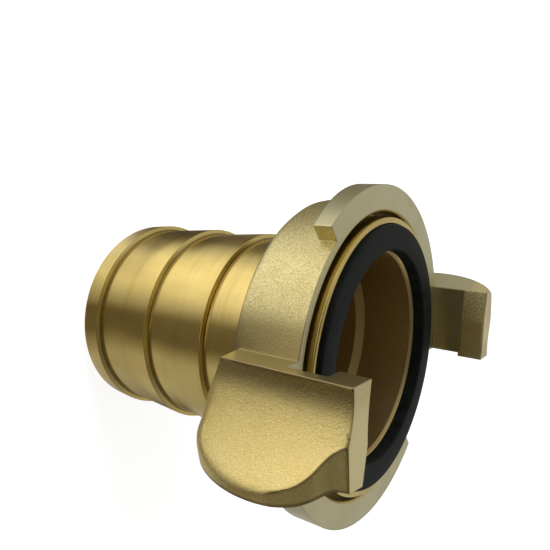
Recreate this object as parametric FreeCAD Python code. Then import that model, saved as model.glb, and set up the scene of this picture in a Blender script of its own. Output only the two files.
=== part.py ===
"""Half of a quarter turn fire hose coupling, standing on the end of its hose tail.

A turned brass tail carries a flat rubber seal in its head. A cast brass ring with two
claws swivels on the neck of the tail and is held there by a snap wire. Sizes are in
millimetres. The axis of the coupling is +Z with the mouth up, the origin is the centre
of the tail's end, and the middle of each claw lies on the X axis.
"""
import FreeCAD
import Part
import math
import os

V = FreeCAD.Vector
AXIS = V(0, 0, 1)
RIM_SURFACES = {Part.SurfaceOfExtrusion, Part.SurfaceOfRevolution}
SAME_LENGTH = 1e-6

# Hose tail: waterway, barbs and overall length
TAIL_BORE_R = 20.2
TAIL_WALL = 1.8
BARB_HEIGHT = 1.2
BARB_PITCH = 15.9
BARB_SHOULDER = 0.35
LAST_BARB_Z = 37.0
TAIL_END_CHAMFER = 0.5
SEAL_FACE_Z = 67.2

# Hose tail: neck that carries the ring, and head that holds the seal
BORE_STEP = 1.1
BORE_STEP_DROP = 7.3
BORE_STEP_LENGTH = 1.9
NECK_WALL = 2.7
NECK_CHAMFER = 0.9
HEAD_LIP = 1.3
HEAD_HEIGHT = 7.0
HEAD_CHAMFER = 0.25
MOUTH_CHAMFER = 0.75

# Flat seal
SEAL_INSET = 0.5
SEAL_WIDTH = 5.2
SEAL_THICKNESS = 2.6
SEAL_PROUD = 0.8
SEAL_EDGE = 0.25
SEAL_CLEARANCE = 0.05

# Snap wire, square in section
WIRE_SIDE = 1.8
WIRE_CLEARANCE = 0.1
WIRE_OPENING_DEG = 8.0

# Claw ring: cup, recess for the head, and running clearances on the tail
CUP_WALL = 1.9
CUP_BACK_RADIUS = 3.0
CUP_BACK_STEPS = 4
RING_FACE_DROP = 1.15
RING_HEIGHT = 14.8
RECESS_CLEARANCE = 1.15
NECK_CLEARANCE = 0.05
AXIAL_CLEARANCE = 0.15
RING_EDGE = 0.4

# Claw ring: flange sectors, wedge shaped so that turning draws two halves together
FLANGE_WIDTH = 3.4
FLANGE_END_DEG = 138.5
FLANGE_MEAN_THICKNESS = 2.9
RAMP_TILT_DEG = 4.8
RAMP_HEADING_DEG = 63.5

# Claws: hook and post, seen along the axis; walls are measured out from the post's inside
CLAW_COUNT = 2
CLAW_MIDDLE_DEG = 15.5
HOOK_CLEARANCE = 0.2
HOOK_GAP = 7.45
HOOK_THICKNESS = 5.5
HOOK_CHAMFER = 0.3
POST_CLEARANCE = 0.4
SIDE_INNER_Y = -0.6
SIDE_EDGE_WALL = 2.6
SIDE_EDGE_Y = 0.4
SIDE_BEVEL_RISE = 4.0
SIDE_BEVEL_INWARD = 0.25
SIDE_BEVEL_ALONG = 0.38
END_FACE_Y = 15.8

# Claws: ear for the hand or spanner, swept out from the post to a thin rim
WAIST_WALL = 1.6
WAIST_Y = 4.2
SWEEP_WALL = 2.2
SWEEP_Y = 9.5
EAR_ROOT_WALL = 0.1
EAR_REACH = 10.2
EAR_RIM = 2.1
EAR_WIDEST_DROP = 3.4
EAR_BACK_ROUND = 6.5
EAR_BACK_RISE = 0.6
EAR_FRONT_ROUND = 8.6
EAR_FRONT_HEIGHT = 14.7
EAR_FACE_DEG = 37.0
EAR_ROUND_FRONT = 0.7
EAR_ROUND_BACK = 2.0

# Heights that several pieces share
seal_seat_z = SEAL_FACE_Z - SEAL_THICKNESS
head_face_z = SEAL_FACE_Z - SEAL_PROUD
head_back_z = head_face_z - HEAD_HEIGHT
ring_face_z = head_face_z - RING_FACE_DROP
ring_back_z = ring_face_z - RING_HEIGHT
recess_floor_z = head_back_z - AXIAL_CLEARANCE
wire_z = (ring_back_z + recess_floor_z) / 2
hook_back_z = ring_face_z + HOOK_GAP
claw_end_z = hook_back_z + HOOK_THICKNESS
ear_back_z = ring_back_z + EAR_BACK_RISE
ear_widest_z = SEAL_FACE_Z - EAR_WIDEST_DROP

# Radii that fits and clearances set
barb_root_r = TAIL_BORE_R + TAIL_WALL
barb_crest_r = barb_root_r + BARB_HEIGHT
mouth_bore_r = TAIL_BORE_R + BORE_STEP
neck_r = mouth_bore_r + NECK_WALL
seal_inner_r = mouth_bore_r + SEAL_INSET
seal_outer_r = seal_inner_r + SEAL_WIDTH
seat_r = seal_outer_r + SEAL_CLEARANCE
head_r = seat_r + HEAD_LIP
ring_bore_r = neck_r + NECK_CLEARANCE
recess_r = head_r + RECESS_CLEARANCE
cup_r = recess_r + CUP_WALL
wall_r = (recess_r + cup_r) / 2
flange_r = cup_r + FLANGE_WIDTH
hook_inner_r = cup_r + HOOK_CLEARANCE
post_inner_r = flange_r + POST_CLEARANCE
ear_r = flange_r + EAR_REACH
ear_back_r = ear_r - EAR_BACK_ROUND
ear_front_r = ear_r - EAR_FRONT_ROUND


def turned(edges, sweep=360):
    """Solid turned about the axis from a closed chain of edges in the XZ plane."""
    return Part.Face(Part.Wire(edges)).revolve(V(0, 0, 0), AXIS, sweep)


def chain(points):
    """Straight edges through (radius, height) points in the XZ plane."""
    corners = [V(radius, 0, height) for radius, height in points]
    return [Part.makeLine(a, b) for a, b in zip(corners, corners[1:])]


def closed(points):
    """Straight edges round (radius, height) points, back to the first one."""
    return chain(points + points[:1])


def quarter(centre, start, end):
    """Quarter of an ellipse in the XZ plane from start to end, given by its centre."""
    origin = V(centre[0], 0, centre[1])
    a = V(start[0], 0, start[1]) - origin
    b = V(end[0], 0, end[1]) - origin
    root = math.sqrt(0.5)
    middle = origin + a * root + b * root
    if abs(a.Length - b.Length) < SAME_LENGTH:
        return Part.Arc(origin + a, middle, origin + b).toShape()
    longer, shorter = (a, b) if a.Length > b.Length else (b, a)
    ellipse = Part.Ellipse(origin + longer, origin + shorter, origin)
    return Part.ArcOfEllipse(ellipse, 0, math.pi / 2).toShape()


def polar(radius, angle_deg):
    """Point in the XY plane at a radius and an angle from +X."""
    angle = math.radians(angle_deg)
    return V(radius * math.cos(angle), radius * math.sin(angle), 0)


def reach(start, way, radius):
    """Point where a line in the XY plane from start along way meets a circle round the axis."""
    along = start.dot(way)
    return start + way * (math.sqrt(along**2 + radius**2 - start.dot(start)) - along)


def half_space(point, normal):
    """Large block that fills the side of a plane that its normal points away from."""
    size = 4 * ear_r
    block = Part.makeBox(size, size, size, V(-size / 2, -size / 2, -size))
    block.Placement = FreeCAD.Placement(point, FreeCAD.Rotation(AXIS, normal))
    return block


def ring_of_copies(shape):
    """The shape once for each claw, evenly round the axis."""
    copies = []
    for index in range(CLAW_COUNT):
        copy = shape.copy()
        copy.rotate(V(0, 0, 0), AXIS, 360 * index / CLAW_COUNT)
        copies.append(copy)
    return copies


def barb_points():
    """Saw-toothed outline of the tail, from its end up to the neck's chamfer."""
    steps = [LAST_BARB_Z]
    while steps[0] > BARB_PITCH:
        steps.insert(0, steps[0] - BARB_PITCH)
    growth = (barb_crest_r - barb_root_r) / BARB_PITCH
    end_r = barb_crest_r - growth * steps[0]
    points = [(end_r - TAIL_END_CHAMFER, 0), (end_r, TAIL_END_CHAMFER)]
    for step in steps:
        points.append((barb_crest_r, step))
        points.append((barb_root_r, step + BARB_SHOULDER))
    neck_start_z = ring_back_z - NECK_CHAMFER / 2
    neck_start_r = barb_root_r + growth * (neck_start_z - LAST_BARB_Z)
    points.append((neck_start_r, neck_start_z))
    points.append((neck_r, neck_start_z + NECK_CHAMFER))
    return points


def make_hose_tail():
    """Barbed tail, neck with a groove for the wire, and head with a seat for the seal."""
    groove_half = WIRE_SIDE / 2 + WIRE_CLEARANCE
    groove_r = neck_r - WIRE_SIDE - WIRE_CLEARANCE
    step_top_z = head_back_z - BORE_STEP_DROP
    outline = barb_points()
    outline += [
        (neck_r, wire_z - groove_half),
        (groove_r, wire_z - groove_half),
        (groove_r, wire_z + groove_half),
        (neck_r, wire_z + groove_half),
        (neck_r, head_back_z),
        (head_r, head_back_z),
        (head_r, head_face_z - HEAD_CHAMFER),
        (head_r - HEAD_CHAMFER, head_face_z),
        (seat_r, head_face_z),
        (seat_r, seal_seat_z),
        (mouth_bore_r + MOUTH_CHAMFER, seal_seat_z),
        (mouth_bore_r, seal_seat_z - MOUTH_CHAMFER),
        (mouth_bore_r, step_top_z),
        (TAIL_BORE_R, step_top_z - BORE_STEP_LENGTH),
        (TAIL_BORE_R, TAIL_END_CHAMFER),
        (TAIL_BORE_R + TAIL_END_CHAMFER, 0),
    ]
    return turned(closed(outline))


def make_seal_ring():
    """Flat washer with slightly broken front edges."""
    return turned(closed([
        (seal_inner_r, seal_seat_z),
        (seal_outer_r, seal_seat_z),
        (seal_outer_r, SEAL_FACE_Z - SEAL_EDGE),
        (seal_outer_r - SEAL_EDGE, SEAL_FACE_Z),
        (seal_inner_r + SEAL_EDGE, SEAL_FACE_Z),
        (seal_inner_r, SEAL_FACE_Z - SEAL_EDGE),
    ]))


def make_snap_wire():
    """Square wire bent to an open ring, half in the neck and half in the ring's bore."""
    half = WIRE_SIDE / 2
    return turned(closed([
        (neck_r - half, wire_z - half),
        (neck_r + half, wire_z - half),
        (neck_r + half, wire_z + half),
        (neck_r - half, wire_z + half),
    ]), 360 - WIRE_OPENING_DEG)


def make_cup():
    """Blank of the ring's cup, solid inside, its back edge rounded in short cones."""
    bend_r = cup_r - CUP_BACK_RADIUS
    bend_z = ring_back_z + CUP_BACK_RADIUS
    points = [(0, ring_face_z), (0, ring_back_z)]
    for step in range(CUP_BACK_STEPS + 1):
        angle = math.pi / 2 * step / CUP_BACK_STEPS
        across = CUP_BACK_RADIUS * math.sin(angle)
        down = CUP_BACK_RADIUS * math.cos(angle)
        points.append((bend_r + across, bend_z - down))
    points.append((cup_r, ring_face_z))
    return turned(closed(points))


def make_flange():
    """One flange sector, from inside its claw to its thin end, with its ramp cut."""
    sector = turned(closed([
        (wall_r, ring_back_z),
        (flange_r, ring_back_z),
        (flange_r, ring_face_z),
        (wall_r, ring_face_z),
    ]), FLANGE_END_DEG - CLAW_MIDDLE_DEG)
    sector.rotate(V(0, 0, 0), AXIS, CLAW_MIDDLE_DEG)
    ramp_normal = polar(math.sin(math.radians(RAMP_TILT_DEG)), RAMP_HEADING_DEG)
    ramp_normal.z = math.cos(math.radians(RAMP_TILT_DEG))
    ramp_point = V(0, 0, ring_face_z - FLANGE_MEAN_THICKNESS)
    return sector.cut(half_space(ramp_point, ramp_normal))


def claw_plan():
    """Outline of a claw seen along the axis: square side, swept ear, square end."""
    side_inner = V(wall_r, SIDE_INNER_Y, 0)
    edge = V(post_inner_r + SIDE_EDGE_WALL, SIDE_EDGE_Y, 0)
    end_inner = V(wall_r, END_FACE_Y, 0)
    ear_root = V(post_inner_r + EAR_ROOT_WALL, END_FACE_Y, 0)
    ear_way = polar(1, EAR_FACE_DEG)
    tip = reach(ear_root, ear_way, ear_r)
    rim = tip + V(ear_way.y, -ear_way.x, 0) * EAR_RIM
    waist = V(post_inner_r + WAIST_WALL, WAIST_Y, 0)
    middle = V(post_inner_r + SWEEP_WALL, SWEEP_Y, 0)
    sweep = Part.BSplineCurve()
    sweep.interpolate([edge, waist, middle, rim])
    return [
        Part.makeLine(side_inner, edge),
        sweep.toShape(),
        Part.makeLine(rim, tip),
        Part.makeLine(tip, ear_root),
        Part.makeLine(ear_root, end_inner),
        Part.makeLine(end_inner, side_inner),
    ]


def ear_outline():
    """Turned body whose outer surface bounds the ear: seen from the side, a rounded D."""
    top_z = ear_widest_z + EAR_FRONT_HEIGHT
    widest = (ear_r, ear_widest_z)
    back = quarter((ear_back_r, ear_widest_z), (ear_back_r, ear_back_z), widest)
    front = quarter((ear_front_r, ear_widest_z), widest, (ear_front_r, top_z))
    low = chain([(0, ear_back_z), (ear_back_r, ear_back_z)])
    high = chain([(ear_front_r, top_z), (0, top_z), (0, ear_back_z)])
    return turned(low + [back, front] + high)


def rim_edges(claw):
    """Edges in front of the ear's widest place where its swept face meets its turned rim."""
    found = []
    for edge in claw.Edges:
        kinds = {type(face.Surface) for face in claw.ancestorsOfType(edge, Part.Face)}
        if kinds == RIM_SURFACES and edge.CenterOfMass.z > ear_widest_z:
            found.append(edge)
    return found


def make_claw():
    """One claw: its plan carried up the axis, within the turned outline of its ear."""
    plan = Part.Face(Part.Wire(claw_plan()))
    plan.translate(V(0, 0, ear_back_z))
    claw = plan.extrude(AXIS * (claw_end_z - ear_back_z)).common(ear_outline())
    claw = claw.makeFillet(EAR_ROUND_FRONT, EAR_ROUND_BACK, rim_edges(claw))
    bevel_point = V(post_inner_r + SIDE_EDGE_WALL, SIDE_EDGE_Y, ring_back_z + SIDE_BEVEL_RISE)
    bevel_normal = V(-SIDE_BEVEL_INWARD, SIDE_BEVEL_ALONG, 1)
    return claw.cut(half_space(bevel_point, bevel_normal)).cut(mating_space())


def mating_space():
    """Turned space that the other half's flange and cup fill: above the ring's face."""
    return turned(closed([
        (0, ring_face_z),
        (post_inner_r, ring_face_z),
        (post_inner_r, hook_back_z),
        (hook_inner_r, hook_back_z),
        (hook_inner_r, claw_end_z - HOOK_CHAMFER),
        (hook_inner_r + HOOK_CHAMFER, claw_end_z),
        (hook_inner_r + HOOK_CHAMFER, claw_end_z + HOOK_CHAMFER),
        (0, claw_end_z + HOOK_CHAMFER),
    ]))


def ring_hollow():
    """Turned space inside the ring: bore on the neck, wire groove and recess."""
    groove_half = WIRE_SIDE / 2 + WIRE_CLEARANCE
    groove_r = neck_r + groove_half
    return turned(closed([
        (0, ring_back_z - RING_EDGE),
        (ring_bore_r + 2 * RING_EDGE, ring_back_z - RING_EDGE),
        (ring_bore_r, ring_back_z + RING_EDGE),
        (ring_bore_r, wire_z - groove_half),
        (groove_r, wire_z - groove_half),
        (groove_r, wire_z + groove_half),
        (ring_bore_r, wire_z + groove_half),
        (ring_bore_r, recess_floor_z),
        (recess_r, recess_floor_z),
        (recess_r, ring_face_z - RING_EDGE),
        (recess_r + 2 * RING_EDGE, ring_face_z + RING_EDGE),
        (0, ring_face_z + RING_EDGE),
    ]))


def make_claw_ring():
    """Cup, flange sectors and claws as one casting, bored and faced."""
    additions = ring_of_copies(make_flange()) + ring_of_copies(make_claw())
    ring = make_cup().multiFuse(additions)
    ring = ring.cut(ring_hollow()).removeSplitter()
    ring.rotate(V(0, 0, 0), AXIS, -CLAW_MIDDLE_DEG)
    return ring


def main():
    """Write one STEP file for each piece."""
    os.makedirs("parts", exist_ok=True)
    pieces = {
        "hose_tail": make_hose_tail(),
        "seal_ring": make_seal_ring(),
        "snap_wire": make_snap_wire(),
        "claw_ring": make_claw_ring(),
    }
    for name, shape in pieces.items():
        box = shape.BoundBox
        print(name, len(shape.Solids), shape.isValid(), round(shape.Volume, 1),
              [round(v, 2) for v in (box.XMin, box.YMin, box.ZMin, box.XMax, box.YMax, box.ZMax)])
        shape.exportStep("parts/" + name + ".step")


main()
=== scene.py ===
"""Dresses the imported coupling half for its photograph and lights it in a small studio.

The CAD model gives every size. The turned pieces are revolved again here from the same
profiles with their corners eased. The casting is the CAD mesh, merged, with the hollow slope
of its near ear cut. All of them get brass, rubber or steel finishes made from nodes. Lengths
are in millimetres in the dataclasses and in metres in the meshes.
"""

import logging
import math
from dataclasses import dataclass, field
from enum import Enum
from typing import Any, Mapping, Optional, Sequence, Union

import bmesh
import bpy
from mathutils import Matrix, Vector

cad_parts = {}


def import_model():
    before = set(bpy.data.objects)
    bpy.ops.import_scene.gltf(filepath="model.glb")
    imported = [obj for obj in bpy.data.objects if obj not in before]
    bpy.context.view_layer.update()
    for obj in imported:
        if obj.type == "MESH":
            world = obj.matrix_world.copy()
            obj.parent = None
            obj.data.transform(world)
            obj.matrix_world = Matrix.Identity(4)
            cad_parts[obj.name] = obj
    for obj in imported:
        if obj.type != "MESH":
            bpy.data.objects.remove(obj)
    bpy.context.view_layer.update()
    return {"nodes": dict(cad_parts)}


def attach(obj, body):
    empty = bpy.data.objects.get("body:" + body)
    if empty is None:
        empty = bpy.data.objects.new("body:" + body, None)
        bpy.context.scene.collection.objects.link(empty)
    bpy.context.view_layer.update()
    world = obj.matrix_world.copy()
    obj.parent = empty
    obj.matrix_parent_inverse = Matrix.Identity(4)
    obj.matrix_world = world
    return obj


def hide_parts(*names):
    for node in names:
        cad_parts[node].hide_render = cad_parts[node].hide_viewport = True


MM = 0.001
TAU = 2 * math.pi
MERGE_M = 1e-7
EDGE_SHARE = 0.45

log = logging.getLogger("coupling")

Point = tuple[float, float]
Span = tuple[float, float]
Axes = tuple[float, float, float]
Colour = tuple[float, float, float]
Value = Union[float, int, bool, tuple, "Wire", bpy.types.Material]


class Ray(Enum):
    """Kinds of ray that the floor or the room answers in its own way."""

    CAMERA = "Is Camera Ray"
    GLOSSY = "Is Glossy Ray"
    TRANSMISSION = "Is Transmission Ray"


class Skin(Enum):
    """How a face of the claw ring was left by the foundry or the lathe."""

    CAST = 0.0
    MACHINED = 1.0


@dataclass(frozen=True)
class Noise:
    """A noise pattern on an object's own coordinates.

    Attributes:
        scale: How many waves it has to the metre.
        detail: How many finer layers it has.
        rough: How strong those layers are.
        stretch: What the coordinates are multiplied by along each axis.
    """

    scale: float
    detail: float = 2.0
    rough: float = 0.5
    stretch: Axes = (1.0, 1.0, 1.0)


class Wire:
    """An output socket whose arithmetic adds Math nodes to its own tree."""

    def __init__(self, graph: "Graph", socket: bpy.types.NodeSocket) -> None:
        """Holds the socket and the graph that it belongs to."""
        self.graph = graph
        self.socket = socket

    def _math(self, operation: str, *values: Value) -> "Wire":
        """Adds one Math node on the values, in their order."""
        return self.graph.add("ShaderNodeMath", dict(enumerate(values)), operation=operation)

    def __add__(self, other: Value) -> "Wire":
        """self + other."""
        return self._math("ADD", self, other)

    def __radd__(self, other: Value) -> "Wire":
        """other + self."""
        return self._math("ADD", other, self)

    def __sub__(self, other: Value) -> "Wire":
        """self - other."""
        return self._math("SUBTRACT", self, other)

    def __rsub__(self, other: Value) -> "Wire":
        """other - self."""
        return self._math("SUBTRACT", other, self)

    def __mul__(self, other: Value) -> "Wire":
        """self * other."""
        return self._math("MULTIPLY", self, other)

    def __rmul__(self, other: Value) -> "Wire":
        """other * self."""
        return self._math("MULTIPLY", other, self)

    def apply(self, operation: str, *others: Value) -> "Wire":
        """A Math operation that has no sign of its own, on self and any others."""
        return self._math(operation, self, *others)

    def clamp(self) -> "Wire":
        """self held between 0 and 1."""
        return self.graph.add("ShaderNodeClamp", {"Value": self})

    def smooth(self, low: float, high: float) -> "Wire":
        """0 below low, 1 above high, and a smooth step between them."""
        values = {"Value": self, "From Min": low, "From Max": high}
        return self.graph.add("ShaderNodeMapRange", values, interpolation_type="SMOOTHSTEP")

    def smooth_mm(self, span: Span) -> "Wire":
        """The same smooth step between two lengths in millimetres."""
        return self.smooth(span[0] * MM, span[1] * MM)

    def sway(self, amount: float) -> "Wire":
        """A noise turned into a swing of that amount, about 0."""
        return (self - 0.5) * amount

    def part(self, name: str) -> "Wire":
        """Another output of the same node."""
        return Wire(self.graph, self.socket.node.outputs[name])


class Graph:
    """A node tree that grows one node at a time."""

    def __init__(self, tree: bpy.types.NodeTree) -> None:
        """Starts on the tree, and empties it."""
        self.tree = tree
        tree.nodes.clear()

    def add(
        self,
        kind: str,
        values: Optional[Mapping[Union[int, str], Value]] = None,
        out: Union[int, str] = 0,
        stops: Sequence[tuple[float, Colour]] = (),
        **settings: Any,
    ) -> Wire:
        """Adds a node.

        Args:
            kind: The node's type.
            values: What each input socket is set or linked to, by its name or number.
            out: The output socket that is wanted.
            stops: Places and colours of a ramp, where the node has one.
            settings: The node's own properties, set before its sockets.

        Returns:
            The wanted output, or the first input of a node that has none.
        """
        node = self.tree.nodes.new(kind)
        for name, setting in settings.items():
            setattr(node, name, setting)
        for index, (place, colour) in enumerate(stops):
            ramp = node.color_ramp.elements
            stop = ramp[index] if index < len(ramp) else ramp.new(place)
            stop.position = place
            stop.color = (*colour, 1.0)
        for key, value in (values or {}).items():
            socket = node.inputs[key]
            if isinstance(value, Wire):
                self.tree.links.new(value.socket, socket)
            elif isinstance(value, tuple) and len(value) == 3 and socket.type == "RGBA":
                socket.default_value = (*value, 1.0)
            else:
                socket.default_value = value
        if not node.outputs:
            return Wire(self, node.inputs[0])
        return Wire(self, node.outputs[out])

    def mix(self, factor: Value, a: Value, b: Value) -> Wire:
        """Colour a where the factor is 0 and b where it is 1."""
        return self.add("ShaderNodeMix", {0: factor, 6: a, 7: b}, out=2, data_type="RGBA")

    def measure(self, operation: str, *vectors: Value) -> Wire:
        """The number that a Vector Math operation makes of the vectors."""
        values = dict(enumerate(vectors))
        return self.add("ShaderNodeVectorMath", values, out="Value", operation=operation)

    def place(self) -> Wire:
        """Object coordinates."""
        return self.add("ShaderNodeTexCoord", out="Object")

    def stretched(self, scale: Axes) -> Wire:
        """Object coordinates, scaled along each axis."""
        values = {"Vector": self.place(), "Scale": scale}
        return self.add("ShaderNodeMapping", values)

    def reach(self) -> Wire:
        """Distance from the object's Z axis, in metres."""
        return self.measure("LENGTH", self.stretched((1.0, 1.0, 0.0)))

    def noise(self, pattern: Noise) -> Wire:
        """Adds a noise pattern, about 0.5.

        Args:
            pattern: Its scale, layers and stretch.

        Returns:
            The noise.
        """
        values = {"Scale": pattern.scale, "Detail": pattern.detail, "Roughness": pattern.rough}
        vector = self.stretched(pattern.stretch)
        return self.add("ShaderNodeTexNoise", {"Vector": vector, **values})

    def attribute(self, name: str) -> Wire:
        """A number that the mesh holds for each face."""
        return self.add("ShaderNodeAttribute", out="Fac", attribute_name=name)

    def ray(self, kind: Ray) -> Wire:
        """1 where the surface is met by that kind of ray."""
        return self.add("ShaderNodeLightPath", out=kind.value)

    def bump(self, height: Wire, strength: float, distance_mm: float, **more: Value) -> Wire:
        """Normals tilted as if the surface rose by a height.

        Args:
            height: The height, where 1 is the whole distance.
            strength: How much of it shows.
            distance_mm: The distance.
            more: Other sockets of the node.

        Returns:
            The normals.
        """
        values = {"Height": height, "Strength": strength, "Distance": distance_mm * MM}
        return self.add("ShaderNodeBump", {**values, **more})

    def surface(self, values: Mapping[str, Value]) -> None:
        """Ends the material in a Principled shader with these values."""
        shader = self.add("ShaderNodeBsdfPrincipled", values)
        self.add("ShaderNodeOutputMaterial", {"Surface": shader})


def node_material(name: str) -> tuple[bpy.types.Material, Graph]:
    """Makes a new node material.

    Args:
        name: What it is called.

    Returns:
        The material, and the graph on its tree.
    """
    material = bpy.data.materials.new(name)
    material.use_nodes = True
    return material, Graph(material.node_tree)


def placed(name: str, data: bpy.types.ID) -> bpy.types.Object:
    """Puts a new object into the scene.

    Args:
        name: What it is called.
        data: Its mesh, lamp or camera.

    Returns:
        The object.
    """
    thing = bpy.data.objects.new(name, data)
    bpy.context.scene.collection.objects.link(thing)
    return thing


def take_shape(piece: bpy.types.Object) -> None:
    """Makes a piece's modifiers part of its mesh.

    Args:
        piece: The piece, which gets the new mesh.
    """
    graph = bpy.context.evaluated_depsgraph_get()
    mesh = bpy.data.meshes.new_from_object(piece.evaluated_get(graph), depsgraph=graph)
    piece.modifiers.clear()
    piece.data = mesh


@dataclass(frozen=True)
class Share:
    """How far a pattern counts in a mix.

    Attributes:
        low: The pattern's value up to which it doesn't count.
        high: The value from which it counts in full.
        amount: How much that is.
    """

    low: float
    high: float
    amount: float = 1.0

    def of(self, pattern: Wire) -> Wire:
        """The pattern's share, from 0 to the amount."""
        return pattern.smooth(self.low, self.high) * self.amount


@dataclass(frozen=True)
class Finish:
    """What every finish has: its own name, and a slot name that is not used."""

    name: str
    slot: str


@dataclass(frozen=True)
class CastBrass(Finish):
    """Sand-cast brass with fine grain, and pale smooth faces where it was machined.

    Attributes:
        bright: The casting's high spots on the cup and flange, and dull its low ones.
        worn_bright: The same on the ears, which hands rub, and worn_dull their low spots.
        worn_mm: How far from the axis one turns into the other.
        faced: The machined faces, and ends those at the top of the claws.
        ends_mm: How high up one turns into the other.
        corner_shade: Painted shade in the corner between a claw's side and the cup.
        corner_across: The direction across a claw, along which that corner is found.
        corner_from_mm: Where along it the painted shade starts.
        corner_to_mm: Where it ends.
        rim_shade: A painted shade line on an ear's rim beside its broad face.
        rim_line_mm: How wide that line is.
    """

    bright: Colour = (0.95, 0.83, 0.415)
    dull: Colour = (0.54, 0.425, 0.17)
    worn_bright: Colour = (1.0, 0.83, 0.36)
    worn_dull: Colour = (0.86, 0.64, 0.22)
    worn_mm: Span = (34.9, 36.4)
    faced: Colour = (0.70, 0.655, 0.40)
    ends: Colour = (0.92, 0.79, 0.41)
    ends_mm: Span = (72.0, 74.0)
    corner_shade: Colour = (0.34, 0.26, 0.105)
    corner_across: Axes = (0.13, 0.99, 0.0)
    corner_from_mm: Span = (-13.0, -8.5)
    corner_to_mm: Span = (-3.2, 0.8)
    rim_shade: Colour = (0.22, 0.125, 0.045)
    rim_line_mm: float = 1.1
    grain: Noise = Noise(4761.905, 3.0, 0.62)
    pits: Noise = Noise(1571.429)
    cloud: Noise = Noise(90.0, 3.0, 0.6)
    lathe: Noise = Noise(2600.0, 1.0)
    grain_stain: Share = Share(0.41, 0.59, 0.75)
    cloud_stain: Share = Share(0.35, 0.7, 0.3)
    faced_stain: Share = Share(0.3, 0.7, 0.2)
    shade_grain: Share = Share(0.35, 0.6, 0.35)
    shade_least: float = 0.6
    faced_shade: float = 0.35
    rim_edge: Share = Share(0.003, 0.06, 0.9)
    cast_rough: float = 0.33
    cast_sway: float = 0.25
    machined_rough: float = 0.34
    machined_sway: float = 0.14
    grain_height: float = 0.9
    pits_height: float = 0.25
    lathe_height: float = 0.04
    bump_strength: float = 0.75
    bump_mm: float = 0.12
    edge_mm: float = 0.5
    edge_samples: int = 6

    def _bevel(self, graph: Graph, radius_mm: float) -> Wire:
        """Normals rounded over the edges by that radius."""
        values = {"Radius": radius_mm * MM}
        return graph.add("ShaderNodeBevel", values, samples=self.edge_samples)

    def _painted_corner_shade(self, graph: Graph, grain: Wire) -> Wire:
        """Finds the painted shade in the corner between each claw's side and the cup.

        Args:
            graph: The material's graph.
            grain: The casting's grain.

        Returns:
            How grimy each place is.
        """
        place = graph.place()
        half = graph.add("ShaderNodeSeparateXYZ", {"Vector": place}, out="X").apply("SIGN")
        across = half * graph.measure("DOT_PRODUCT", place, self.corner_across)
        corner = across.smooth_mm(self.corner_from_mm) * (1.0 - across.smooth_mm(self.corner_to_mm))
        return corner * (self.shade_grain.of(grain) + self.shade_least)

    def _painted_rim_line(self, graph: Graph) -> Wire:
        """Finds the painted shade line on each ear's rim.

        Args:
            graph: The material's graph.

        Returns:
            How much painted shade each place gets.
        """
        flat = graph.add("ShaderNodeNewGeometry", out="True Normal")
        along = graph.measure("DOT_PRODUCT", self._bevel(graph, self.rim_line_mm), flat)
        return graph.attribute("rim") * self.rim_edge.of(1.0 - along)

    def material(self) -> bpy.types.Material:
        """Makes the finish, which reads the casting's machined and rim attributes.

        Returns:
            The finished material.
        """
        material, graph = node_material(self.name)
        machined = graph.attribute("machined")
        cast = 1.0 - machined
        grain = graph.noise(self.grain)
        pits = graph.noise(self.pits)
        cloud = graph.noise(self.cloud)
        lathe = graph.noise(self.lathe)
        # Painted shade for the corner between each claw's side and the cup.
        corner_shade_mask = self._painted_corner_shade(graph, grain)

        worn = graph.reach().smooth_mm(self.worn_mm)
        low = graph.mix(worn, self.dull, self.worn_dull)
        high = graph.mix(worn, self.bright, self.worn_bright)
        stain = (self.grain_stain.of(grain) + self.cloud_stain.of(cloud)).clamp()
        cast_colour = graph.mix(stain, low, high)
        # The corner's painted shade darkens the cast faces.
        cast_colour = graph.mix(corner_shade_mask, cast_colour, self.corner_shade)
        # A painted shade line along the edge of each ear's rim.
        cast_colour = graph.mix(self._painted_rim_line(graph), cast_colour, self.rim_shade)

        height = graph.add("ShaderNodeSeparateXYZ", {"Vector": graph.place()}, out="Z")
        faced = graph.mix(height.smooth_mm(self.ends_mm), self.faced, self.ends)
        faced = graph.mix(self.faced_stain.of(cloud), faced, self.dull)
        # Less of the same painted shade on the machined faces in that corner.
        faced = graph.mix(corner_shade_mask * self.faced_shade, faced, self.corner_shade)

        rough_cast = self.cast_rough + grain.sway(self.cast_sway)
        rough_faced = self.machined_rough + cloud.sway(self.machined_sway)
        rise = (grain * self.grain_height + pits * self.pits_height) * cast
        rise = rise + lathe * machined * self.lathe_height
        soft = self._bevel(graph, self.edge_mm)
        graph.surface({
            "Base Color": graph.mix(machined, cast_colour, faced),
            "Metallic": 1.0,
            "Roughness": rough_cast * cast + rough_faced * machined,
            "Normal": graph.bump(rise, self.bump_strength, self.bump_mm, Normal=soft),
        })
        return material


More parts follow.
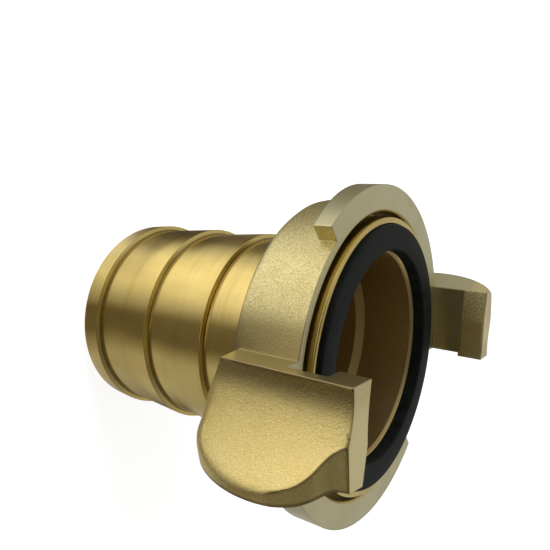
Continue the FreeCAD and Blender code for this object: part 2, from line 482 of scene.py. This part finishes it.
@dataclass(frozen=True)
class TurnedBrass(Finish):
    """Brass turned bright on a lathe, with fine rings of tool marks round its Z axis.

    Attributes:
        bright: The clean brass outside, and dull its stains.
        bore_shade: The bore's brass, darkened with painted shade, nearer the axis than inside_mm.
        groove_shade: Painted shade in the corner at the foot of each barb's shoulder.
        corner_mm: How far from the axis that painted shade fades.
        step: Which faces are a shoulder, by the square of their upward part.
    """

    bright: Colour = (0.80, 0.615, 0.215)
    dull: Colour = (0.60, 0.43, 0.13)
    bore_shade: Colour = (0.62, 0.47, 0.21)
    inside_mm: Span = (21.55, 21.85)
    groove_shade: Colour = (0.16, 0.11, 0.04)
    corner_mm: Span = (22.1, 22.6)
    step: Share = Share(0.3, 0.8, 0.9)
    marks: Noise = Noise(4545.455, 3.0, 0.7, (0.012, 0.012, 1.0))
    bands: Noise = Noise(420.0, stretch=(0.10, 0.10, 1.0))
    cloud: Noise = Noise(75.0, 3.0, 0.6, (1.0, 1.0, 0.35))
    cloud_stain: Share = Share(0.4, 0.75, 0.6)
    band_stain: Share = Share(0.45, 0.8, 0.35)
    rough: float = 0.21
    inside_rough: float = 0.5
    mark_sway: float = 0.22
    cloud_sway: float = 0.16
    mark_height: float = 0.7
    band_height: float = 0.3
    bump_strength: float = 0.6
    bump_mm: float = 0.006

    def material(self) -> bpy.types.Material:
        """Makes the finish.

        Returns:
            The finished material.
        """
        material, graph = node_material(self.name)
        marks = graph.noise(self.marks)
        bands = graph.noise(self.bands)
        cloud = graph.noise(self.cloud)
        reach = graph.reach()
        # Painted shade darkens the bore's brass, which is also rougher.
        within = 1.0 - reach.smooth_mm(self.inside_mm)
        facing = graph.add("ShaderNodeTexCoord", out="Normal")
        upright = graph.add("ShaderNodeSeparateXYZ", {"Vector": facing}, out="Z")
        # Painted shade in the corner at the foot of each barb's shoulder.
        corner = self.step.of(upright * upright) * (1.0 - reach.smooth_mm(self.corner_mm))
        stain = (self.cloud_stain.of(cloud) + self.band_stain.of(bands)).clamp()
        outside = graph.mix(stain, self.bright, self.dull)
        outside = graph.mix(corner, outside, self.groove_shade)
        rough = self.rough + marks.sway(self.mark_sway) + cloud.sway(self.cloud_sway)
        rise = marks * self.mark_height + bands * self.band_height
        graph.surface({
            "Base Color": graph.mix(within, outside, self.bore_shade),
            "Metallic": 1.0,
            "Roughness": rough + within * (self.inside_rough - self.rough),
            "Normal": graph.bump(rise, self.bump_strength, self.bump_mm),
        })
        return material


@dataclass(frozen=True)
class SealRubber(Finish):
    """Black moulded rubber, slightly satin, with a trace of dust."""

    black: Colour = (0.005, 0.0065, 0.005)
    worn: Colour = (0.014, 0.016, 0.015)
    rough: float = 0.55
    gloss: float = 0.10
    dust: Noise = Noise(320.0, 4.0, 0.65)
    grain: Noise = Noise(3800.0)
    rings: Noise = Noise(520.0, stretch=(1.0, 1.0, 0.1))
    dust_stain: Share = Share(0.3, 0.8, 0.7)
    dust_sway: float = 0.22
    grain_height: float = 0.5
    ring_height: float = 0.5
    bump_strength: float = 0.35
    bump_mm: float = 0.02

    def material(self) -> bpy.types.Material:
        """Makes the finish.

        Returns:
            The finished material.
        """
        material, graph = node_material(self.name)
        dust = graph.noise(self.dust)
        grain = graph.noise(self.grain)
        rings = graph.noise(self.rings)
        rise = grain * self.grain_height + rings * self.ring_height
        graph.surface({
            "Base Color": graph.mix(self.dust_stain.of(dust), self.black, self.worn),
            "Roughness": self.rough + dust.sway(self.dust_sway),
            "Normal": graph.bump(rise, self.bump_strength, self.bump_mm),
            "Specular IOR Level": self.gloss,
        })
        return material


@dataclass(frozen=True)
class SpringWire(Finish):
    """Drawn stainless wire with lengthwise marks."""

    bright: Colour = (0.60, 0.60, 0.60)
    dull: Colour = (0.42, 0.42, 0.43)
    rough: float = 0.3
    marks: Noise = Noise(6000.0, 2.0, 0.6, (0.05, 0.05, 1.0))
    mark_stain: Share = Share(0.35, 0.7)
    mark_sway: float = 0.2

    def material(self) -> bpy.types.Material:
        """Makes the finish.

        Returns:
            The finished material.
        """
        material, graph = node_material(self.name)
        marks = graph.noise(self.marks)
        graph.surface({
            "Base Color": graph.mix(self.mark_stain.of(marks), self.bright, self.dull),
            "Metallic": 1.0,
            "Roughness": self.rough + marks.sway(self.mark_sway),
        })
        return material


@dataclass(frozen=True)
class Corner:
    """A corner of a turned profile, and the radius that eases it."""

    radius: float
    height: float
    ease: float = 0.0


def eased(corners: Sequence[Corner], steps: int = 4) -> list[Point]:
    """Rounds the corners of a closed profile.

    Args:
        corners: The corners in order, in millimetres.
        steps: How many short edges make each rounded corner.

    Returns:
        The points of the closed outline.
    """
    points: list[Point] = []
    count = len(corners)
    for index, corner in enumerate(corners):
        here = Vector((corner.radius, corner.height))
        before = corners[index - 1]
        after = corners[(index + 1) % count]
        back = Vector((before.radius, before.height)) - here
        ahead = Vector((after.radius, after.height)) - here
        if corner.ease <= 0:
            points.append((here.x, here.y))
            continue
        half = back.angle(ahead) / 2
        most = EDGE_SHARE * min(back.length, ahead.length)
        reach = min(corner.ease / math.tan(half), most)
        ease = reach * math.tan(half)
        middle = (back.normalized() + ahead.normalized()).normalized()
        centre = here + middle * (ease / math.sin(half))
        start = here + back.normalized() * reach - centre
        turn = start.angle_signed(here + ahead.normalized() * reach - centre)
        for step in range(steps + 1):
            spoke = start.copy()
            spoke.rotate(Matrix.Rotation(-turn * step / steps, 2))
            points.append(((centre + spoke).x, (centre + spoke).y))
    return points


def flowing(points: Sequence[Point], steps: int = 5) -> list[Point]:
    """Draws a smooth line through the points.

    Args:
        points: The points in order; the first and last only steer the ends.
        steps: How many short edges run from each point to the next.

    Returns:
        The points of the line, from the second given point to the last but one.
    """
    line: list[Point] = []
    knots = [Vector(point) for point in points]
    for a, b, c, d in zip(knots, knots[1:], knots[2:], knots[3:]):
        for step in range(steps):
            t = step / steps
            bend = (2 * a - 5 * b + 4 * c - d) + t * (3 * b - a - 3 * c + d)
            spot = b + 0.5 * t * ((c - a) + t * bend)
            line.append((spot.x, spot.y))
    line.append((knots[-2].x, knots[-2].y))
    return line


def outward(mesh: bpy.types.Mesh) -> None:
    """Turns every face of a mesh outwards.

    Args:
        mesh: A closed mesh.
    """
    work = bmesh.new()
    work.from_mesh(mesh)
    bmesh.ops.recalc_face_normals(work, faces=work.faces)
    work.to_mesh(mesh)
    work.free()


def finish_mesh(
    mesh: bpy.types.Mesh, finish: bpy.types.Material, sharp_deg: float = 32.0
) -> None:
    """Sets one finish and shades the mesh smooth between its sharp edges.

    Args:
        mesh: A closed mesh.
        finish: Its only material.
        sharp_deg: The angle past which an edge stays sharp.
    """
    outward(mesh)
    mesh.materials.clear()
    mesh.materials.append(finish)
    mesh.shade_smooth()
    mesh.set_sharp_from_angle(angle=math.radians(sharp_deg))


class Lathe:
    """A Geometry Nodes tree that turns a profile about the Z axis."""

    def __init__(self) -> None:
        """Builds the tree once for every turned piece."""
        self.tree = bpy.data.node_groups.new("turn_profile", "GeometryNodeTree")
        face = self.tree.interface
        inputs = {"Profile": "Geometry", "Points": "Int", "Sides": "Int", "Finish": "Material"}
        for name, kind in inputs.items():
            face.new_socket(name, in_out="INPUT", socket_type="NodeSocket" + kind)
        face.new_socket("Turned", in_out="OUTPUT", socket_type="NodeSocketGeometry")
        self._wire(Graph(self.tree))

    @staticmethod
    def _wire(graph: Graph) -> None:
        """Bends a flat grid so that its rows follow the profile and its columns the turn.

        Args:
            graph: The graph on the empty tree.
        """
        source = graph.add("NodeGroupInput", out="Profile")
        points = source.part("Points")
        rows = {"Vertices X": source.part("Sides") + 1.0, "Vertices Y": points + 1.0}
        grid = graph.add("GeometryNodeMeshGrid", {"Size X": 1.0, "Size Y": 1.0, **rows}, out="Mesh")
        position = graph.add("GeometryNodeInputPosition")
        across = graph.add("ShaderNodeSeparateXYZ", {"Vector": position}, out="X")
        turn = (across + 0.5) * TAU
        number = ((across.part("Y") + 0.5) * points).apply("ROUND").apply("MODULO", points)
        sample = graph.add(
            "GeometryNodeSampleIndex",
            {"Geometry": source, "Value": position, "Index": number},
            data_type="FLOAT_VECTOR",
            domain="POINT",
        )
        radius = graph.add("ShaderNodeSeparateXYZ", {"Vector": sample}, out="X")
        spot = {
            "X": radius * turn.apply("COSINE"),
            "Y": radius * turn.apply("SINE"),
            "Z": radius.part("Z"),
        }
        bent = graph.add("ShaderNodeCombineXYZ", spot)
        shape = graph.add("GeometryNodeSetPosition", {"Geometry": grid, "Position": bent})
        merge = {"Geometry": shape, "Distance": MERGE_M}
        closed = graph.add("GeometryNodeMergeByDistance", merge)
        real = graph.add("GeometryNodeRealizeInstances", {"Geometry": closed})
        dress = {"Geometry": real, "Material": source.part("Finish")}
        graph.add("NodeGroupOutput", {"Turned": graph.add("GeometryNodeSetMaterial", dress)})

    def turn(
        self, name: str, outline: Sequence[Point], sides: int, finish: bpy.types.Material
    ) -> bpy.types.Object:
        """Turns an outline into a plain mesh.

        Args:
            name: The new object's name.
            outline: The closed outline, as radius and height in millimetres.
            sides: How many sides the turned piece has.
            finish: Its material.

        Returns:
            The turned object, a plain closed mesh at the origin.
        """
        mesh = bpy.data.meshes.new(name)
        mesh.from_pydata([(r * MM, 0.0, h * MM) for r, h in outline], [], [])
        piece = placed(name, mesh)
        modifier = piece.modifiers.new("turn", "NODES")
        modifier.node_group = self.tree
        wanted = {"Points": len(outline), "Sides": sides, "Finish": finish}
        for item in self.tree.interface.items_tree:
            if item.in_out == "INPUT" and item.name in wanted:
                modifier[item.identifier] = wanted[item.name]
        take_shape(piece)
        piece.data.name = name
        finish_mesh(piece.data, finish)
        return piece


@dataclass
class HoseTail:
    """Barbed brass tail: bore, barbs, neck, and the head that carries the seal."""

    finish: TurnedBrass
    sides: int = 256
    bore_r: float = 20.2
    mouth_r: float = 21.3
    crest_r: float = 23.2
    crest_ease: float = 0.16
    root_r: float = 22.0
    root_ease: float = 0.12
    pitch: float = 15.9
    shoulder: float = 0.35
    last_barb_z: float = 37.0
    neck_r: float = 24.0
    neck_z: float = 50.0
    neck_chamfer: float = 0.9
    groove_r: float = 22.1
    groove_z: float = 54.85
    groove_half: float = 1.0
    head_r: float = 28.35
    head_back_z: float = 59.4
    head_face_z: float = 66.4
    seat_r: float = 27.05
    seat_z: float = 64.6
    step_top_z: float = 52.1
    step_length: float = 1.9
    mouth_chamfer: float = 0.75
    end_chamfer: float = 0.5

    def outline(self) -> list[Point]:
        """Draws the profile, from the tail's end up the barbs and back down the bore.

        Returns:
            The closed profile.
        """
        growth = (self.crest_r - self.root_r) / self.pitch
        steps = [self.last_barb_z]
        while steps[0] > self.pitch:
            steps.insert(0, steps[0] - self.pitch)
        end_r = self.crest_r - growth * steps[0]
        corners = [
            Corner(end_r - self.end_chamfer, 0.0, ease=0.15),
            Corner(end_r, self.end_chamfer, ease=0.4),
        ]
        for step in steps:
            corners.append(Corner(self.crest_r, step, self.crest_ease))
            corners.append(Corner(self.root_r, step + self.shoulder, self.root_ease))
        start_r = self.root_r + growth * (self.neck_z - self.last_barb_z)
        low, high = self.groove_z - self.groove_half, self.groove_z + self.groove_half
        corners += [
            Corner(start_r, self.neck_z, ease=0.1),
            Corner(self.neck_r, self.neck_z + self.neck_chamfer, ease=0.2),
            Corner(self.neck_r, low),
            Corner(self.groove_r, low),
            Corner(self.groove_r, high),
            Corner(self.neck_r, high),
            Corner(self.neck_r, self.head_back_z),
            Corner(self.head_r, self.head_back_z, ease=0.3),
            Corner(self.head_r, self.head_face_z, ease=0.35),
            Corner(self.seat_r, self.head_face_z, ease=0.25),
            Corner(self.seat_r, self.seat_z),
            Corner(self.mouth_r + self.mouth_chamfer, self.seat_z),
            Corner(self.mouth_r, self.seat_z - self.mouth_chamfer, ease=0.2),
            Corner(self.mouth_r, self.step_top_z, ease=0.15),
            Corner(self.bore_r, self.step_top_z - self.step_length, ease=0.3),
            Corner(self.bore_r, self.end_chamfer, ease=0.3),
            Corner(self.bore_r + self.end_chamfer, 0.0, ease=0.15),
        ]
        return eased(corners)

    def build(self, lathe: Lathe) -> bpy.types.Object:
        """Turns the tail and sets it in place of its CAD node.

        Args:
            lathe: What turns it.

        Returns:
            The tail.
        """
        finish = self.finish.material()
        piece = lathe.turn("turned_hose_tail", self.outline(), self.sides, finish)
        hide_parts("hose_tail")
        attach(piece, "tail")
        return piece


@dataclass
class FlatSeal:
    """Black washer that lies in the head, a little proud of it."""

    finish: SealRubber
    sides: int = 256
    inner_r: float = 21.8
    outer_r: float = 27.0
    seat_z: float = 64.6
    face_z: float = 67.2
    back_ease: float = 0.1
    face_ease: float = 0.4

    def outline(self) -> list[Point]:
        """Draws the washer's profile.

        Returns:
            The closed profile.
        """
        return eased([
            Corner(self.inner_r, self.seat_z, self.back_ease),
            Corner(self.outer_r, self.seat_z, self.back_ease),
            Corner(self.outer_r, self.face_z, self.face_ease),
            Corner(self.inner_r, self.face_z, self.face_ease),
        ])

    def build(self, lathe: Lathe) -> bpy.types.Object:
        """Turns the washer and sets it in place of its CAD node.

        Args:
            lathe: What turns it.

        Returns:
            The washer.
        """
        finish = self.finish.material()
        piece = lathe.turn("rubber_seal", self.outline(), self.sides, finish)
        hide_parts("seal_ring")
        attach(piece, "tail")
        return piece


@dataclass
class SnapWire:
    """Square wire that holds the claw ring on the neck, hidden between the two."""

    finish: SpringWire

    def build(self, node: bpy.types.Object) -> bpy.types.Object:
        """Gives the CAD node its finish.

        Args:
            node: The wire's CAD node, which stays.

        Returns:
            The same node.
        """
        node.data.materials.clear()
        node.data.materials.append(self.finish.material())
        return node


@dataclass
class ClawRing:
    """Swivelling casting: cup, flange sectors, hooks, posts and ears.

    Attributes:
        claw_middle_deg: How far round its own plan a claw's middle is, which X meets.
        cup_r: The cup's outer radius.
        lathed_r: The radius within which every face was turned.
        flange_r: The flange sectors' outer radius, and flange_slack how near it a face is.
        ear_face_deg: How an ear's inner face runs in that plan, from outwards.
        side_run: How the post's side runs there.
        level: How nearly a face's normal must point a way, as a cosine.
        rim_from_mm: The radius beyond which a face can be on an ear's rim.
        rim_turn: How far such a face must look back round the ring at most.
        slope: The hollow slope's line, as distance along its heading and height.
        slope_heading_deg: The way that the slope looks, from the X axis.
        slope_reach_mm: How far its cutter reaches to each side, and cutter_out_mm outwards.
        weld_mm: The distance within which the CAD mesh's corners are one.
    """

    finish: CastBrass
    claw_middle_deg: float = 15.5
    cup_r: float = 31.4
    lathed_r: float = 28.2
    flange_r: float = 34.8
    flange_slack: float = 0.2
    ear_face_deg: float = 37.0
    side_run: Point = (7.35, 1.0)
    level: float = 0.985
    rim_from_mm: float = 37.6
    rim_turn: float = -0.35
    slope: tuple[Point, ...] = (
        (37.4, 79.6), (37.92, 78.3), (39.15, 75.75), (41.35, 73.75), (42.65, 72.15),
        (43.4, 70.6), (43.95, 69.0), (44.4, 67.4), (44.8, 65.5), (45.1, 63.5))
    slope_heading_deg: float = 2.1
    slope_reach_mm: float = 30.0
    cutter_out_mm: float = 8.0
    weld_mm: float = 0.001
    side_normals: list[Vector] = field(default_factory=list)

    def __post_init__(self) -> None:
        """Works out the directions that a claw's machined sides face, at both claws."""
        ear = math.radians(self.ear_face_deg)
        plan = [
            Vector((self.side_run[1], -self.side_run[0], 0.0)),
            Vector((-math.sin(ear), math.cos(ear), 0.0)),
            Vector((0.0, 1.0, 0.0)),
        ]
        for half in (0, math.pi):
            turn = Matrix.Rotation(half - math.radians(self.claw_middle_deg), 3, "Z")
            self.side_normals += [turn @ normal.normalized() for normal in plan]

    def skin(self, normal: Vector, centre: Vector) -> Skin:
        """Tells whether the foundry or the lathe left a face.

        Args:
            normal: The face's normal.
            centre: The face's middle, in metres.

        Returns:
            Its skin.
        """
        radius = math.hypot(centre.x, centre.y) / MM
        outwards = (normal.x * centre.x + normal.y * centre.y) / (radius * MM)
        if abs(normal.z) > self.level or outwards < -self.level:
            return Skin.MACHINED
        sides = (normal.dot(side) > self.level for side in self.side_normals)
        if radius > self.cup_r and any(sides):
            return Skin.MACHINED
        if abs(radius - self.flange_r) < self.flange_slack and outwards > self.level:
            return Skin.MACHINED
        return Skin.MACHINED if radius < self.lathed_r else Skin.CAST

    def on_rim(self, normal: Vector, centre: Vector) -> bool:
        """Tells whether a face is on the rim of an ear, beside its broad outer face.

        Args:
            normal: The face's normal.
            centre: The face's middle, in metres.

        Returns:
            Whether it is.
        """
        radius = math.hypot(centre.x, centre.y)
        round_about = (normal.y * centre.x - normal.x * centre.y) / radius
        return radius > self.rim_from_mm * MM and round_about > self.rim_turn

    def merged(self, node: bpy.types.Object) -> bpy.types.Object:
        """Copies the CAD mesh and merges its loose triangles.

        Args:
            node: The claw ring's CAD node.

        Returns:
            The casting, at the origin.
        """
        mesh = node.data.copy()
        mesh.name = "cast_claw_ring"
        weld = self.weld_mm * MM
        work = bmesh.new()
        work.from_mesh(mesh)
        bmesh.ops.remove_doubles(work, verts=work.verts, dist=weld)
        bmesh.ops.dissolve_degenerate(work, edges=work.edges, dist=weld)
        work.to_mesh(mesh)
        work.free()
        for name in ("custom_normal", "sharp_face"):
            if name in mesh.attributes:
                mesh.attributes.remove(mesh.attributes[name])
        return placed("cast_claw_ring", mesh)

    def slope_cutter(self) -> bpy.types.Object:
        """Makes the block whose inner side is the hollow slope.

        Returns:
            The block.
        """
        line = flowing(self.slope)
        out = line[-1][0] + self.cutter_out_mm
        outline = line + [(out, line[-1][1]), (out, line[0][1])]
        sides = (-self.slope_reach_mm * MM, self.slope_reach_mm * MM)
        points = [(r * MM, side, z * MM) for side in sides for r, z in outline]
        count = len(outline)
        faces = [(i, (i + 1) % count, count + (i + 1) % count, count + i) for i in range(count)]
        faces += [tuple(reversed(range(count))), tuple(range(count, 2 * count))]
        mesh = bpy.data.meshes.new("slope_cutter")
        mesh.from_pydata(points, [], faces)
        mesh.transform(Matrix.Rotation(math.radians(self.slope_heading_deg), 4, "Z"))
        outward(mesh)
        return placed("slope_cutter", mesh)

    def cut_slope(self, piece: bpy.types.Object) -> None:
        """Cuts the hollow slope at the front of the near ear.

        The photo's far ear keeps its full corner there, so it isn't cut.

        Args:
            piece: The casting, whose mesh is replaced by the cut one.
        """
        cutter = self.slope_cutter()
        cut = piece.modifiers.new("slope", "BOOLEAN")
        cut.operation = "DIFFERENCE"
        cut.solver = "EXACT"
        cut.object = cutter
        take_shape(piece)
        bpy.data.objects.remove(cutter)

    def mark(self, mesh: bpy.types.Mesh) -> None:
        """Writes into the mesh which faces are machined and which are on a rim.

        Args:
            mesh: The casting's finished mesh.
        """
        machined = mesh.attributes.new("machined", "FLOAT", "FACE")
        rim = mesh.attributes.new("rim", "FLOAT", "FACE")
        for face in mesh.polygons:
            machined.data[face.index].value = self.skin(face.normal, face.center).value
            rim.data[face.index].value = float(self.on_rim(face.normal, face.center))

    def build(self, node: bpy.types.Object) -> bpy.types.Object:
        """Makes the casting and sets it in place of its CAD node.

        Args:
            node: The claw ring's CAD node.

        Returns:
            The casting.
        """
        piece = self.merged(node)
        self.cut_slope(piece)
        finish_mesh(piece.data, self.finish.material())
        self.mark(piece.data)
        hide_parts("claw_ring")
        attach(piece, "ring")
        return piece


@dataclass(frozen=True)
class Card:
    """A flat ring of card round the object that shows only in its gloss.

    Attributes:
        inner_mm: Its radius nearest the object.
        outer_mm: Its radius farthest from it.
        levels: How bright it is by the angle round the object from +X, where 1 is white.
        height_mm: How high it lies over the floor.
        tint: The colour of its darkest parts.
        tinted: At what share of the peak the tint goes over to white.
        peak: The brightest level that its ramp can hold.
    """

    name: str
    inner_mm: float
    outer_mm: float
    levels: tuple[tuple[float, float], ...]
    height_mm: float = 0.2
    tint: Colour = (1.0, 0.86, 0.64)
    tinted: Share = Share(0.04, 0.25)
    peak: float = 2.0
    sides: int = 96

    def glow(self) -> bpy.types.Material:
        """Makes the card's plain glow.

        Returns:
            The material.
        """
        material, graph = node_material(self.name)
        place = {"Vector": graph.place()}
        turn = graph.add("ShaderNodeTexGradient", place, out="Fac", gradient_type="RADIAL")
        stops = [(0.5 + angle / 360, (level / self.peak,) * 3) for angle, level in self.levels]
        level = graph.add("ShaderNodeValToRGB", {"Fac": turn}, stops=stops)
        bright = graph.add("ShaderNodeSeparateColor", {"Color": level})
        colour = graph.mix(self.tinted.of(bright), self.tint, (1.0, 1.0, 1.0))
        values = {"Color": colour, "Strength": bright * self.peak}
        glow = graph.add("ShaderNodeEmission", values)
        graph.add("ShaderNodeOutputMaterial", {"Surface": glow})
        return material

    def build(self) -> bpy.types.Object:
        """Makes the ring, seen by glossy rays alone.

        Returns:
            The card.
        """
        count = self.sides
        points = []
        for radius in (self.inner_mm, self.outer_mm):
            for step in range(count):
                turn = TAU * step / count
                x, y = radius * math.cos(turn), radius * math.sin(turn)
                points.append((x * MM, y * MM, self.height_mm * MM))
        faces = [(i, count + i, count + (i + 1) % count, (i + 1) % count) for i in range(count)]
        mesh = bpy.data.meshes.new(self.name)
        mesh.from_pydata(points, [], faces)
        mesh.materials.append(self.glow())
        card = placed(self.name, mesh)
        card.visible_camera = False
        card.visible_diffuse = False
        card.visible_shadow = False
        card.visible_transmission = False
        return card


@dataclass(frozen=True)
class Lamp:
    """A soft square lamp that looks at a point, in millimetres."""

    name: str
    at: Axes
    look: Axes
    size_mm: float
    power: float

    def build(self) -> bpy.types.Object:
        """Makes the lamp, hidden from the camera and from gloss.

        Returns:
            The lamp.
        """
        data = bpy.data.lights.new(self.name, "AREA")
        data.shape = "SQUARE"
        data.size = self.size_mm * MM
        data.energy = self.power
        lamp = placed(self.name, data)
        lamp.location = Vector(self.at) * MM
        ahead = Vector(self.look) - Vector(self.at)
        lamp.rotation_euler = ahead.to_track_quat("-Z", "Y").to_euler()
        lamp.visible_camera = False
        lamp.visible_glossy = False
        return lamp


@dataclass
class Studio:
    """Pale floor, pale surroundings, soft lamps and reflecting cards.

    Attributes:
        bore_mm: The radius of the floor's middle, seen down the bore, which has no glow.
        middle_albedo: The colour of that middle.
        floor_albedo: The colour of the rest, which takes the shadow.
        floor_glow: Its glow near the object, and far_glow its glow far off.
        far_mm: How far off one goes over to the other.
        room: The room's colour, and room_level its strength to all but the camera.
        dim_side: The side on which the room is dimmer, and dim_level its strength there.
        dim_from: How far round to that side the dimming starts and ends.
        cards: The rings of card, from the nearest outwards.
    """

    floor_mm: float = 4000.0
    bore_mm: float = 21.0
    middle_albedo: float = 0.8
    floor_albedo: float = 0.46
    floor_glow: float = 0.78
    far_glow: float = 0.95
    far_mm: Span = (60.0, 300.0)
    room: Colour = (1.0, 0.99, 0.97)
    room_level: float = 0.50
    dim_side: Axes = (0.87, 0.30, 0.38)
    dim_level: float = 0.14
    dim_from: Share = Share(0.0, 0.6)
    lamps: tuple[Lamp, ...] = (
        Lamp("key_lamp", (-60.0, -420.0, 330.0), (0.0, 0.0, 45.0), 320.0, 1.9),
        Lamp("fill_lamp", (260.0, 330.0, 260.0), (0.0, 0.0, 45.0), 360.0, 0.9),
    )
    cards: tuple[Card, ...] = (
        Card("foot_card", 22.9, 36.0, (
            (-180, 0.12), (-150, 0.15), (-112, 0.08), (-97, 0.12), (-80, 0.33), (-64, 0.85),
            (-42, 0.98), (-18, 0.13), (-4, 0.16), (15, 0.46), (45, 0.38), (80, 0.18), (125, 0.6),
            (160, 0.6), (180, 0.12))),
        Card("near_card", 36.0, 48.0, (
            (-180, 0.15), (-150, 0.22), (-112, 0.06), (-98, 0.2), (-84, 0.8), (-70, 1.4),
            (-44, 1.05), (-18, 0.13), (1, 0.14), (20, 0.54), (55, 0.46), (85, 0.12), (125, 0.6),
            (160, 0.6), (180, 0.15))),
        Card("neck_card", 48.0, 85.0, (
            (-180, 0.15), (-150, 0.22), (-128, 0.12), (-112, 0.18), (-97, 0.66), (-82, 1.15),
            (-64, 1.35), (-42, 1.03), (-20, 0.16), (4, 0.12), (24, 0.50), (70, 0.38), (125, 0.6),
            (160, 0.6), (180, 0.15))),
        Card("middle_card", 85.0, 130.0, (
            (-180, 0.08), (-160, 0.06), (-114, 0.32), (-97, 0.5), (-84, 1.1), (-60, 0.98),
            (-44, 0.42), (-28, 0.04), (0, 0.05), (40, 0.12), (80, 0.22), (125, 0.6), (160, 0.5),
            (180, 0.08))),
        Card("far_card", 130.0, 225.0, (
            (-180, 0.12), (-115, 0.25), (-90, 1.2), (-8, 2.0), (5, 0.05), (20, 0.06), (38, 0.22),
            (90, 0.4), (130, 0.7), (160, 0.6), (180, 0.12))),
        Card("screen_card", 225.0, 340.0, (
            (-180, 0.4), (-128, 0.52), (-110, 0.5), (-70, 1.1), (-38, 1.1), (-24, 0.10), (35, 0.12),
            (60, 0.3), (110, 0.7), (160, 0.7), (180, 0.3))),
        Card("outer_card", 340.0, 1900.0, (
            (-180, 0.3), (-110, 0.4), (-80, 1.1), (-24, 1.1), (-8, 0.12), (40, 0.10), (60, 0.3),
            (110, 0.7), (160, 0.7), (180, 0.3))),
    )

    def floor(self) -> bpy.types.Object:
        """Lays the floor, white to the eye and in gloss but for the shadow on it.

        Returns:
            The floor.
        """
        half = self.floor_mm * MM / 2
        corners = [(-half, -half, 0), (half, -half, 0), (half, half, 0), (-half, half, 0)]
        mesh = bpy.data.meshes.new("floor")
        mesh.from_pydata(corners, [], [(0, 1, 2, 3)])
        material, graph = node_material("floor")
        reach = graph.reach()
        rays = graph.ray(Ray.CAMERA) + graph.ray(Ray.GLOSSY) + graph.ray(Ray.TRANSMISSION)
        seen = rays.clamp() * reach.apply("GREATER_THAN", self.bore_mm * MM)
        plain = graph.add("ShaderNodeBsdfDiffuse", {"Color": (self.middle_albedo,) * 3})
        lit = graph.add("ShaderNodeBsdfDiffuse", {"Color": (self.floor_albedo,) * 3})
        rise = reach.smooth_mm(self.far_mm) * (self.far_glow - self.floor_glow)
        glow = graph.add("ShaderNodeEmission", {"Strength": rise + self.floor_glow})
        white = graph.add("ShaderNodeAddShader", {0: lit, 1: glow})
        surface = graph.add("ShaderNodeMixShader", {0: seen, 1: plain, 2: white})
        graph.add("ShaderNodeOutputMaterial", {"Surface": surface})
        mesh.materials.append(material)
        floor = placed("floor", mesh)
        return floor

    def surroundings(self) -> None:
        """Lights the room, white to the camera and dimmer to all else."""
        world = bpy.data.worlds.new("room")
        bpy.context.scene.world = world
        world.use_nodes = True
        graph = Graph(world.node_tree)
        camera = graph.ray(Ray.CAMERA)
        heading = graph.add("ShaderNodeTexCoord", out="Generated")
        side = graph.measure("DOT_PRODUCT", heading, self.dim_side)
        level = self.dim_from.of(side) * (self.dim_level - self.room_level) + self.room_level
        strength = level + camera * (1.0 - level)
        sky = graph.add("ShaderNodeBackground", {"Color": self.room, "Strength": strength})
        graph.add("ShaderNodeOutputWorld", {"Surface": sky})

    def build(self) -> None:
        """Sets up the whole studio."""
        self.floor()
        self.surroundings()
        for card in self.cards:
            card.build()
        for lamp in self.lamps:
            lamp.build()
        bpy.context.scene.view_settings.view_transform = "Standard"


@dataclass(frozen=True)
class Viewpoint:
    """Where the photograph was taken from, in millimetres, and how the camera was held."""

    at: Axes = (101.586, -42.615, 110.962)
    right: Axes = (-0.56622, 0.02937, 0.82373)
    down: Axes = (0.20016, 0.97435, 0.10285)
    ahead: Axes = (-0.79958, 0.22311, -0.55757)
    picture_px: float = 550.0
    focal_px: float = 564.06
    sensor_mm: float = 36.0
    clip_m: Span = (0.005, 20.0)

    def build(self) -> bpy.types.Object:
        """Makes the scene's camera.

        Returns:
            The camera.
        """
        data = bpy.data.cameras.new("camera")
        data.sensor_width = self.sensor_mm
        data.lens = self.focal_px / self.picture_px * self.sensor_mm
        data.clip_start, data.clip_end = self.clip_m
        camera = placed("camera", data)
        up = [-v for v in self.down]
        back = [-v for v in self.ahead]
        axes = Matrix((self.right, up, back)).transposed()
        camera.matrix_world = Matrix.Translation(Vector(self.at) * MM) @ axes.to_4x4()
        bpy.context.scene.camera = camera
        return camera


def main() -> None:
    """Builds the coupling and its studio."""
    logging.basicConfig(level=logging.INFO, format="%(name)s: %(message)s")
    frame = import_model()
    Viewpoint().build()
    lathe = Lathe()
    pieces = [
        HoseTail(TurnedBrass("turned_brass", "turned_brass")).build(lathe),
        FlatSeal(SealRubber("seal_rubber", "seal_rubber")).build(lathe),
        SnapWire(SpringWire("spring_wire", "spring_wire")).build(frame["nodes"]["snap_wire"]),
        ClawRing(CastBrass("cast_brass", "cast_brass")).build(frame["nodes"]["claw_ring"]),
    ]
    for piece in pieces:
        log.info("%s: %d faces", piece.name, len(piece.data.polygons))
    Studio().build()


if __name__ == "__main__":
    main()
